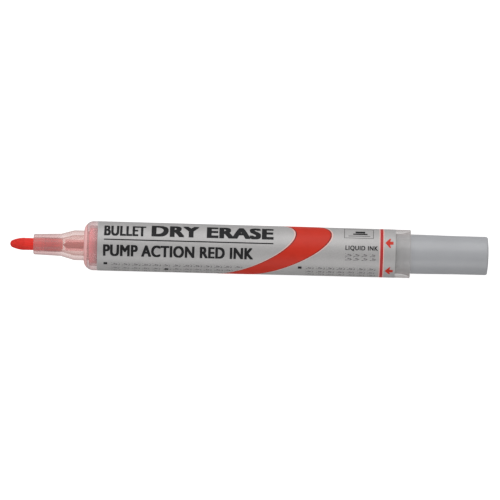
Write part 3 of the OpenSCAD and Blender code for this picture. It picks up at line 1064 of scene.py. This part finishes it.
@dataclass
class Inside:
    """What works inside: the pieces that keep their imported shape, and the two wound springs."""

    finishes: dict[str, Finish] = field(default_factory=lambda: {
        "feed_wick": WICK_FIBRE, "valve_housing": HOUSING, "valve_retainer": NATURAL, "pump_cylinder": NATURAL,
        "piston": NATURAL, "neck_gasket": RUBBER, "valve_seat": RUBBER, "cylinder_o_ring": RUBBER,
        "check_valve": RUBBER, "piston_seal": RUBBER, "valve_ball": BALL_STEEL, "ink": INK})

    def dress(self) -> None:
        """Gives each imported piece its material."""
        for node, finish in self.finishes.items():
            materials = frame["nodes"][node].data.materials
            materials.clear()
            materials.append(finish.material())
            log.info("%s keeps its packed shape, in %s", node, finish.name)

    def spring(self, tree: GeometryTree, node: str, wire: float, turns: float) -> None:
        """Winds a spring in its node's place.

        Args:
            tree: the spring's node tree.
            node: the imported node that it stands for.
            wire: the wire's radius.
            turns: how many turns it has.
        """
        low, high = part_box(node)
        length = high.x - low.x
        radius = (high.y - low.y) / 2 - wire
        coil = finish_mesh(f"{node}_coil", bmesh.new(), STEEL_WIRE.material())
        tree.run(coil, {
            "Coil radius": radius, "Wire radius": wire, "Length": length, "Turns": turns,
            "Start": (low.x, 0.0, AXIS_Z), "Material": STEEL_WIRE.material()})
        ride(coil, Body.MARKER, Slot.SPRING, node)
        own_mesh(coil)

    def ink_film(self, name: str, start: float, end: float, inner: float, outer: float, finish: Finish) -> None:
        """Leaves a film of ink round the axis.

        Args:
            name: the film's name.
            start: the X where it starts.
            end: the X where it ends.
            inner: its inner radius.
            outer: its outer radius.
            finish: its finish.
        """
        corners = [Corner(start, inner), Corner(start, outer), Corner(end, outer), Corner(end, inner)]
        film = lathe(name, supported(rounded(corners, True), True, margin=0.01 * MM), True, finish.material())
        let_light_in(ride(film, Body.MARKER, Slot.INK))

    def wet(self, nozzle: Nozzle, barrel: Barrel) -> None:
        """Leaves ink on the neck sleeve, where the tank's pocket holds it, and round the nib in the nozzle's bore.

        Args:
            nozzle: the nozzle that holds the nib.
            barrel: the barrel that holds the sleeve.
        """
        start, sleeve = barrel.span.start + barrel.floor_depth + 0.02 * MM, barrel.sleeve_radius
        self.ink_film("ink_on_sleeve", start, barrel.plug_end, sleeve + 0.004 * MM, sleeve + 0.03 * MM, INK_FILM)
        start, bore = nozzle.span.start + 3.2 * MM, nozzle.bore_radius
        end = nozzle.span.start + nozzle.slim_length + 0.4 * MM
        self.ink_film("ink_in_bore", start, end, bore - 0.03 * MM, bore - 0.01 * MM, BORE_INK)

    def build(self, coil: GeometryTree, nozzle: Nozzle, barrel: Barrel) -> None:
        """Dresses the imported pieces, leaves the ink films and winds both springs.

        Args:
            coil: the springs' node tree.
            nozzle: the nozzle that holds the nib.
            barrel: the barrel that holds the sleeve.
        """
        self.dress()
        self.wet(nozzle, barrel)
        self.spring(coil, "return_spring", 0.4 * MM, 8.5)
        self.spring(coil, "valve_spring", 0.15 * MM, 5.5)


# ---------------------------------------------------------------- the label and its print


@dataclass
class Label:
    """The silver film with its print. Print is laid on it in layers, each a closed sheet of ink."""

    barrel: Barrel
    span: Span = field(default_factory=lambda: Span.of("label"))
    nib_tip: float = field(default_factory=lambda: Span.of("nib").start)
    glue: float = 0.004 * MM
    film: float = 0.036 * MM
    overlap: float = math.radians(14)
    trim: float = 0.25 * MM
    ink: float = 0.006 * MM

    def station(self, s: float) -> float:
        """Returns the X that lies s millimetres behind the nib's tip."""
        return self.nib_tip + s * MM

    def skin(self, x: float) -> float:
        """Returns the radius of the film's outer face at x."""
        return self.barrel.radius_at(x) + self.glue + self.film

    def base(self) -> None:
        """Wraps the film round the barrel, one end lapping over the other underneath."""
        steps, along, edge = 200, 60, 0.02 * MM
        length = self.span.end - self.trim - self.span.start
        xs = [0.0, edge, *(length * i / (along - 2) for i in range(1, along - 2)), length - edge, length]
        bm = bmesh.new()
        grid: dict[tuple[int, int, int], bmesh.types.BMVert] = {}
        total = math.tau + self.overlap
        for i in range(along + 1):
            x = self.span.start + xs[i]
            for j in range(steps + 1):
                turn = -total / 2 + total * j / steps
                lap = max(0.0, min(1.0, (turn - (total / 2 - 1.6 * self.overlap)) / (0.6 * self.overlap)))
                for side in (0, 1):
                    lift = self.glue + self.film * (side + 1.05 * lap)
                    grid[i, j, side] = bm.verts.new(on_axis(x, self.barrel.radius_at(x) + lift, turn + math.tau))
        for i in range(along):
            for j in range(steps):
                for side in (0, 1):
                    bm.faces.new([grid[i + a, j + b, side] for a, b in ((0, 0), (0, 1), (1, 1), (1, 0))])
        for j in range(steps):
            for i in (0, along):
                bm.faces.new([grid[i, j, 0], grid[i, j + 1, 0], grid[i, j + 1, 1], grid[i, j, 1]])
        for i in range(along):
            for j in (0, steps):
                bm.faces.new([grid[i, j, 0], grid[i + 1, j, 0], grid[i + 1, j, 1], grid[i, j, 1]])
        ride(finish_mesh("label_film", bm, FILM.material()), Body.MARKER, Slot.FILM, "label")

    def strip(self, name: str, left: Callable[[float], float], right: Callable[[float], float],
              layer: int, finish: Finish) -> None:
        """Prints a strip that runs right round the marker.

        Args:
            name: the piece's name.
            left: gives the X of its front edge at a turn in radians.
            right: gives the X of its rear edge.
            layer: how many layers of ink lie under it.
            finish: its ink.
        """
        steps = 240
        bm = bmesh.new()
        rings = []
        for j in range(steps):
            turn = math.tau * j / steps
            a, b = left(turn), right(turn)
            low, high = layer * self.ink, (layer + 1) * self.ink
            ring = [(a, low), (a, high), ((a + b) / 2, high), (b, high), (b, low), ((a + b) / 2, low)]
            rings.append([bm.verts.new(on_axis(x, self.skin(x) + lift, turn)) for x, lift in ring])
        for j in range(steps):
            here, there = rings[j], rings[(j + 1) % steps]
            for k in range(len(here)):
                m = (k + 1) % len(here)
                bm.faces.new((here[k], here[m], there[m], there[k]))
        ride(finish_mesh(name, bm, finish.material(), smooth=False), Body.MARKER, Slot.FILM)

    def wrap(self, name: str, bm: bmesh.types.BMesh, finish: Finish, layer: float = 0) -> bpy.types.Object:
        """Lays a flat shape on the film. Its X is X, and its Y is the way round from the top.

        Args:
            name: the piece's name.
            bm: the flat shape.
            finish: its ink.
            layer: how many layers of ink lie under it.

        Returns:
            The printed piece, which has yet to be given to a body.
        """
        step = 0.3 * MM
        ys = [v.co.y for v in bm.verts]
        for k in range(math.ceil(min(ys) / step), math.ceil(max(ys) / step)):
            geometry = [*bm.verts, *bm.edges, *bm.faces]
            bmesh.ops.bisect_plane(bm, geom=geometry, dist=1e-9, plane_co=(0, k * step, 0), plane_no=(0, 1, 0))
        lifted = bmesh.ops.extrude_face_region(bm, geom=bm.faces[:], use_keep_orig=True)["geom"]
        top = {v for v in lifted if isinstance(v, bmesh.types.BMVert)}
        mean = self.skin((self.span.start + self.span.end) / 2)
        for vert in bm.verts:
            x, y, _ = vert.co
            lift = (layer + (vert in top)) * self.ink
            vert.co = on_axis(x, self.skin(x) + lift, y / mean)
        return finish_mesh(name, bm, finish.material(), smooth=False)

    def stamp(self, name: str, shapes: Sequence[Sequence[tuple[float, float]]], finish: Finish) -> None:
        """Prints flat polygons over the bands.

        Args:
            name: the piece's name.
            shapes: each polygon's corners, as (X, way round).
            finish: its ink.
        """
        ride(self.wrap(name, self.polygons(shapes), finish, layer=1), Body.MARKER, Slot.FILM)

    def arc_length(self, degrees: float) -> float:
        """Returns how far round the film a turn is."""
        return math.radians(degrees) * self.skin((self.span.start + self.span.end) / 2)

    def words(self, name: str, text: str, start: float, end: float, low: float, high: float,
              weight: float, spacing: float = 1.0) -> None:
        """Prints a line of capitals fitted to a box.

        Args:
            name: the piece's name.
            text: the words.
            start: the station where they start, in millimetres.
            end: the station where they end.
            low: the turn of their foot, in degrees.
            high: the turn of their head.
            weight: how much each stroke grows to either side, in millimetres.
            spacing: the space between letters.
        """
        curve = bpy.data.curves.new(name, "FONT")
        curve.body, curve.offset, curve.space_character, curve.resolution_u = text, 0.0, spacing, 5
        flat = bpy.data.objects.new(name, curve)
        bpy.context.scene.collection.objects.link(flat)
        graph = bpy.context.evaluated_depsgraph_get()
        mesh = bpy.data.meshes.new_from_object(flat.evaluated_get(graph), depsgraph=graph)
        bpy.data.objects.remove(flat)
        bm = bmesh.new()
        bm.from_mesh(mesh)
        bpy.data.meshes.remove(mesh)
        bmesh.ops.remove_doubles(bm, verts=bm.verts, dist=1e-5)
        xs, ys = [v.co.x for v in bm.verts], [v.co.y for v in bm.verts]
        grow = weight * MM
        x0, y0 = self.station(start) + grow, self.arc_length(low) + grow / 2
        across = (self.station(end) - grow - x0) / (max(xs) - min(xs))
        up = (self.arc_length(high) - grow / 2 - y0) / (max(ys) - min(ys))
        for vert in bm.verts:
            vert.co = (x0 + (vert.co.x - min(xs)) * across, y0 + (vert.co.y - min(ys)) * up, 0)
        parts = []
        for part, (along, round_) in enumerate(BOLD_STEPS):
            copy = bm.copy()
            bmesh.ops.translate(copy, verts=copy.verts, vec=(along * grow, round_ * grow, 0))
            parts.append(self.wrap(f"{name}_{part}", copy, BLACK_PRINT, layer=1 + part * BOLD_LAYER))
        bm.free()
        ride(join(name, parts), Body.MARKER, Slot.FILM)

    def polygons(self, shapes: Sequence[Sequence[tuple[float, float]]]) -> bmesh.types.BMesh:
        """Makes a mesh of flat shapes.

        Args:
            shapes: each shape's corners, as (X, way round).

        Returns:
            The mesh.
        """
        bm = bmesh.new()
        for shape in shapes:
            bm.faces.new([bm.verts.new((x, y, 0)) for x, y in shape])
        return bm

    def frame_lines(self, start: float, end: float, low: float, high: float, line: float) -> list:
        """Draws a rectangular frame.

        Args:
            start: the X of its front side.
            end: the X of its rear side.
            low: how far round its foot is.
            high: how far round its head is.
            line: how wide its sides are.

        Returns:
            The frame's four bars.
        """
        return [
            [(start, low), (end, low), (end, low + line), (start, low + line)],
            [(start, high - line), (end, high - line), (end, high), (start, high)],
            [(start, low + line), (start + line, low + line), (start + line, high - line), (start, high - line)],
            [(end - line, low + line), (end, low + line), (end, high - line), (end - line, high - line)]]


@dataclass
class LabelPrint:
    """Everything that is printed on the label."""

    label: Label
    band_middle: float = 74.93
    band_swing: float = 13.8
    band_width: float = 9.9
    band_swell: float = 0.6
    band_turn: float = math.radians(43.5)
    ring_station: float = 108.6
    ring_width: float = 0.86

    def band_edge(self, side: float, grow: float) -> Callable[[float], float]:
        """Returns the X of one edge of the oblique band as a function of the turn.

        Args:
            side: -1 for the front edge and 1 for the rear edge.
            grow: how far the edge is moved outwards, in millimetres.

        Returns:
            The function.
        """
        def edge(turn: float) -> float:
            """Finds the edge's X.

            Args:
                turn: how far round the marker it is, in radians.

            Returns:
                The X.
            """
            wave = math.cos(turn - self.band_turn)
            half = (self.band_width + self.band_swell * wave) / 2
            return self.label.station(self.band_middle + self.band_swing * wave + side * (half + grow))
        return edge

    def bands(self) -> None:
        """Prints the oblique band with its pale and dark edges, and the thin ring near the plunger."""
        for name, grow, layer, finish in (
                ("band_halo", 0.42, 0, PALE_PRINT), ("band_outline", 0.04, 1, DARK_RED_PRINT),
                ("band_red", -0.32, 2, RED_PRINT)):
            self.label.strip(name, self.band_edge(-1, grow), self.band_edge(1, grow), layer, finish)
        for name, width, layer, finish in (
                ("ring_halo", self.ring_width + 0.5, 0, PALE_PRINT), ("ring_red", self.ring_width, 1, RING_PRINT)):
            edges = [self.label.station(self.ring_station + side * width / 2) for side in (-1, 1)]
            self.label.strip(name, lambda turn, x=edges[0]: x, lambda turn, x=edges[1]: x, layer, finish)

    def headings(self) -> None:
        """Prints the plain generic words and the rule under the first line."""
        self.label.words("word_bullet", "BULLET", 27.6, 39.8, 25, 56, 0.19, spacing=1.1)
        self.label.words("word_dry_erase", "DRY ERASE", 41.4, 77.0, 25.5, 61, 0.38, spacing=1.08)
        self.label.words("word_pump_action", "PUMP ACTION RED INK", 27.4, 71.2, -23.5, 4.2, 0.19, spacing=1.07)
        self.label.words("word_liquid_ink", "LIQUID INK", 98.0, 107.5, 3.5, 16.5, 0.06, spacing=1.14)
        x, y = self.label.station, self.label.arc_length
        rule = [(x(27.6), y(14.6)), (x(77.0), y(14.6)), (x(77.0), y(17.4)), (x(27.6), y(17.4))]
        self.label.stamp("heading_rule", [rule], BLACK_PRINT)

    def pictogram(self) -> None:
        """Prints a framed plain board eraser over a level line."""
        x, y = self.label.station, self.label.arc_length
        bars = self.label.frame_lines(x(97.6), x(106.2), y(36), y(72), 0.14 * MM)
        self.label.stamp("pictogram_frame", bars, GREY_PRINT)
        handle = [(x(100.9), y(52.6)), (x(103.7), y(52.6)), (x(103.7), y(60)), (x(100.9), y(60))]
        felt = [(x(100.2), y(47)), (x(104.4), y(47)), (x(104.4), y(51.4)), (x(100.2), y(51.4))]
        line = [(x(98.8), y(42)), (x(105.2), y(42)), (x(105.2), y(43.4)), (x(98.8), y(43.4))]
        self.label.stamp("pictogram_eraser", [handle, felt, line], BLACK_PRINT)

    def arrows(self, ring: GeometryTree) -> None:
        """Prints the ring of arrows that point at the nib.

        Args:
            ring: the tree that repeats a piece round the axis.
        """
        x = self.label.station
        half, stub = 1.5 * MM, 0.55 * MM
        head = [(x(109.6), 0), (x(110.9), -half), (x(111.3), -half), (x(111.0), -stub),
                (x(112.0), -stub * 0.9), (x(112.0), stub * 0.9), (x(111.0), stub),
                (x(111.3), half), (x(110.9), half)]
        piece = self.label.wrap("label_arrows", self.label.polygons([head]), RED_PRINT)
        ring.run(piece, {"Count": 5, "Axis height": AXIS_Z, "First turn": -math.radians(25.3),
                         "Material": RED_PRINT.material()}, smooth=False)
        ride(piece, Body.MARKER, Slot.FILM)

    def word_shape(self, height: float, length: float) -> bpy.types.Object:
        """Builds one unreadable word: upright and level strokes in a row, with Y as a turn.

        Args:
            height: the strokes' height in millimetres.
            length: the word's length in millimetres.

        Returns:
            The flat word, with its foot at the origin.
        """
        bm = bmesh.new()
        radius = self.label.skin((self.label.span.start + self.label.span.end) / 2)
        tall, stroke = height * MM / radius, 0.15 * MM
        letters = max(2, round(length / (height * 0.68)))
        pitch = length * MM / letters
        turn_stroke = stroke / radius
        for k in range(letters):
            left, right = k * pitch, (k + 0.72) * pitch
            bars = [(left, left + stroke, 0, tall if k % 3 == 0 else tall * 0.72)]
            bars.append((left, right, (0, tall * 0.6, tall * 0.3)[k % 3], None))
            if k % 2:
                bars.append((right - stroke, right, 0, tall * 0.7))
            for x0, x1, y0, y1 in bars:
                top = y0 + turn_stroke if y1 is None else y1
                box = [[bm.verts.new((x, y, z)) for x, y in ((x0, y0), (x1, y0), (x1, top), (x0, top))]
                       for z in (0.0, self.label.ink)]
                bm.faces.new(box[0][::-1])
                bm.faces.new(box[1])
                for a in range(4):
                    b = (a + 1) % 4
                    bm.faces.new((box[0][a], box[0][b], box[1][b], box[1][a]))
        return finish_mesh("small_print_word", bm, GREY_PRINT.material(), smooth=False)

    def small_print(self, tree: GeometryTree) -> None:
        """Prints the blocks of unreadable small print, front and back.

        Args:
            tree: the small print's node tree.
        """
        draft = (self.label.skin(self.label.span.end) - self.label.skin(self.label.span.start)) / (
            self.label.span.end - self.label.span.start)
        blocks = (
            ("small_print_front", 29.9, 13, 3.0, -49.0, -13.5, 3, 0.95, 2.7, 3),
            ("small_print_rear", 86.6, 7, 3.0, -46.0, -12.5, 3, 0.95, 2.7, 5),
            ("small_print_maker", 98.0, 4, 2.4, -9.5, -9.5, 2, 0.95, 2.2, 7),
            ("small_print_below_front", 30.0, 15, 3.0, -108.0, -13.5, 7, 0.95, 2.7, 11),
            ("small_print_below_rear", 84.0, 8, 3.0, -108.0, -13.5, 8, 0.95, 2.7, 13),
        )
        for name, start, words, pitch, first, row, rows, height, length, seed in blocks:
            x = self.label.station(start)
            piece = self.word_shape(height, length)
            piece.name = name
            tree.run(piece, {
                "Rows": rows, "Words": words, "Word pitch": pitch * MM, "Row turn": math.radians(row), "Start": x,
                "First turn": math.radians(first), "Radius": self.label.skin(x) + 0.001 * MM, "Draft": draft,
                "Axis height": AXIS_Z, "Seed": seed, "Material": GREY_PRINT.material()}, smooth=False)
            ride(piece, Body.MARKER, Slot.FILM)
        x, y = self.label.station, self.label.arc_length
        squares = [(27.6, -47.5), (45.4, -64.5), (84.3, -46.0), (27.6, -104.5), (81.8, -104.5)]
        side = 1.1 * MM
        shapes = [[(x(s), y(t)), (x(s) + side, y(t)), (x(s) + side, y(t) + side * 0.8), (x(s), y(t) + side * 0.8)]
                  for s, t in squares]
        self.label.stamp("small_print_squares", shapes, BLACK_PRINT)

    def build(self, ring: GeometryTree, small: GeometryTree) -> None:
        """Prints every layer.

        Args:
            ring: the tree that repeats a piece round the axis.
            small: the small print's node tree.
        """
        self.bands()
        self.headings()
        self.pictogram()
        self.arrows(ring)
        self.small_print(small)


# ---------------------------------------------------------------- the studio


@dataclass(frozen=True)
class Lamp:
    """A soft box, with its width and height in metres and its power in watts."""

    name: str
    place: tuple[float, float, float]
    size: tuple[float, float]
    power: float


@dataclass
class Studio:
    """Camera, floor and soft light."""

    lens: float = 400.0
    sensor: float = 36.0
    view_width: float = 146.3 * MM
    roll: float = math.radians(1.512)
    slide_right: float = 0.22 * MM
    slide_up: float = -0.06 * MM
    floor_half: float = 1.5
    floor_grey: float = 0.35
    floor_glow: float = 0.85
    world_light: float = 0.2
    lamps: tuple[Lamp, ...] = (
        Lamp("soft_box_back", (0.0, 0.52, 0.36), (1.1, 0.66), 5.3),
        Lamp("soft_box_front", (0.0, -0.53, 0.36), (1.1, 0.46), 2.9),
        Lamp("soft_box_nib_end", (-0.62, 0.0, 0.22), (0.5, 0.34), 0.6),
        Lamp("soft_box_plunger_end", (0.62, 0.0, 0.22), (0.5, 0.34), 0.6))

    def camera(self) -> None:
        """Looks straight down on the marker from far off."""
        data = bpy.data.cameras.new("camera")
        data.lens, data.sensor_width = self.lens, self.sensor
        data.clip_start, data.clip_end = 0.05, 20.0
        made = bpy.data.objects.new("camera", data)
        bpy.context.scene.collection.objects.link(made)
        distance = self.view_width * self.lens / self.sensor
        right = Vector((math.cos(self.roll), math.sin(self.roll), 0))
        up = Vector((-math.sin(self.roll), math.cos(self.roll), 0))
        made.location = Vector((0, 0, AXIS_Z + distance)) + right * self.slide_right + up * self.slide_up
        made.rotation_euler = (0, 0, self.roll)
        bpy.context.scene.camera = made

    def hang(self, lamp: Lamp) -> None:
        """Hangs a soft box so that it faces the marker.

        Args:
            lamp: the soft box.
        """
        data = bpy.data.lights.new(lamp.name, "AREA")
        data.shape, data.size, data.size_y, data.energy = "RECTANGLE", *lamp.size, lamp.power
        made = bpy.data.objects.new(lamp.name, data)
        made.location = lamp.place
        made.rotation_euler = (-Vector(lamp.place)).to_track_quat("-Z", "Y").to_euler()
        made.visible_camera = False
        bpy.context.scene.collection.objects.link(made)

    def floor(self) -> None:
        """Lays the plain pale floor just under the marker."""
        bm = bmesh.new()
        h = self.floor_half
        bm.faces.new([bm.verts.new((x, y, -0.02 * MM)) for x, y in ((-h, -h), (h, -h), (h, h), (-h, h))])
        material = bpy.data.materials.new("floor")
        material.use_nodes = True
        shader = material.node_tree.nodes["Principled BSDF"]
        shader.inputs["Base Color"].default_value = (*[self.floor_grey] * 3, 1)
        shader.inputs["Roughness"].default_value = 0.9
        shader.inputs["Emission Color"].default_value = (1, 1, 1, 1)
        kit = NodeKit(material.node_tree)
        glow = kit.math("MULTIPLY", kit.add("ShaderNodeLightPath").outputs["Is Camera Ray"], self.floor_glow)
        material.node_tree.links.new(glow, shader.inputs["Emission Strength"])
        finish_mesh("floor", bm, material, smooth=False)

    def build(self) -> None:
        """Sets up the whole studio."""
        self.camera()
        self.floor()
        for lamp in self.lamps:
            self.hang(lamp)
        world = bpy.data.worlds.new("world")
        world.use_nodes = True
        world.node_tree.nodes["Background"].inputs["Color"].default_value = (1, 1, 1, 1)
        world.node_tree.nodes["Background"].inputs["Strength"].default_value = self.world_light
        bpy.context.scene.world = world
        bpy.context.scene.view_settings.view_transform = "Standard"


def main() -> None:
    """Builds the studio and then the marker, from the nib to the plunger."""
    Studio().build()
    ring, coil, small = ring_tree(), coil_tree(), small_print_tree()
    Nib().build(ring)
    nozzle, barrel = Nozzle(), Barrel()
    nozzle.build(ring)
    barrel.build()
    label = Label(barrel)
    label.base()
    LabelPrint(label).build(ring, small)
    Plunger().build()
    Inside().build(coil, nozzle, barrel)


if __name__ == "__main__":
    main()
